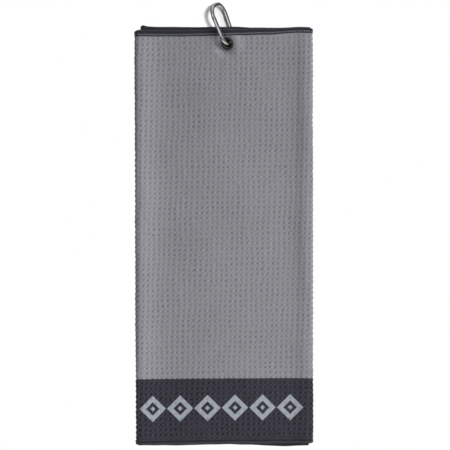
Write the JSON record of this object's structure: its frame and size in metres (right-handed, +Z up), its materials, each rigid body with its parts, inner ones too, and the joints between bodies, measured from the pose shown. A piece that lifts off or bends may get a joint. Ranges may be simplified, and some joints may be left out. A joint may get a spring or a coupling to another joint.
{
  "type": "golf towel",
  "caption": "Waffle-weave towel folded in thirds with dark hem tapes and a printed band, hung by an eyelet from a small spring-gate carabiner.",
  "frame": {"origin": "middle of the folded towel's flat back face, half way up and half way across", "axes": "+Z up along the towel's length towards the clip, +X to the right seen from the front, +Y out of the back face; the front faces -Y"},
  "size_m": [0.1733, 0.0199, 0.436],
  "materials": {
    "waffle_cloth": "matte, waffle weave",
    "cloth_band": "matte, printed dark band",
    "band_motif": "matte print",
    "hem_tape": "matte woven tape",
    "light_thread": "matte twisted thread",
    "dark_thread": "matte twisted thread",
    "gunmetal": "gunmetal-plated, semi-gloss",
    "polished_steel": "polished nickel",
    "spring_steel": "drawn wire"
  },
  "bodies": {
    "towel": {"front_panel": "waffle_cloth", "inner_flap": "waffle_cloth", "outer_flap_head": "waffle_cloth", "left_fold": "waffle_cloth", "left_fold_head": "waffle_cloth", "right_fold": "waffle_cloth", "front_top_hem": "hem_tape", "front_bottom_hem": "hem_tape", "inner_flap_top_hem": "hem_tape", "inner_flap_bottom_hem": "hem_tape", "inner_flap_side_hem": "hem_tape", "outer_flap_top_hem": "hem_tape", "outer_flap_head_side_hem": "hem_tape", "front_top_thread": "light_thread", "inner_flap_top_thread": "light_thread", "outer_flap_top_thread": "light_thread", "front_bottom_thread": "dark_thread", "inner_flap_bottom_thread": "dark_thread", "inner_flap_side_thread": "dark_thread", "outer_flap_head_side_thread": "dark_thread", "eyelet_barrel": "gunmetal", "eyelet_washer": "gunmetal"},
    "outer_flap": {"outer_flap": "waffle_cloth", "outer_flap_bottom_hem": "hem_tape", "outer_flap_side_hem": "hem_tape", "outer_flap_bottom_thread": "dark_thread", "outer_flap_side_thread": "dark_thread"},
    "clip": {"carabiner_body": "polished_steel", "gate_hinge_pin": "polished_steel"},
    "gate": {"gate": "polished_steel", "latch_pin": "polished_steel", "gate_spring": "spring_steel"},
    "plunger": {"spring_plunger": "spring_steel"}
  },
  "joints": [
    {"name": "flap_open", "type": "hinge", "parent": "towel", "child": "outer_flap", "pos_m": [-0.0835, -0.003, 0], "axis": [0, 0, 1], "range_deg": [0, 60], "stiffness_Nm_per_rad": 0.002},
    {"name": "clip_swing", "type": "hinge", "parent": "towel", "child": "clip", "pos_m": [0.0041, -0.004, 0.1888], "axis": [0, 1, 0], "range_deg": [-20, 35]},
    {"name": "gate_open", "type": "hinge", "parent": "clip", "child": "gate", "pos_m": [-0.0018, -0.01006, 0.19435], "axis": [-0.7357, 0.6157, -0.2824], "range_deg": [0, 13], "stiffness_Nm_per_rad": 0.08},
    {"name": "plunger_slide", "type": "slide", "parent": "gate", "child": "plunger", "axis": [-0.3912, -0.0459, 0.9192], "range_m": [0, 0.00025]}
  ],
  "couplings": [
    {"joint": "plunger_slide", "follows": "gate_open", "m_per_rad": 0.0009}
  ]
}
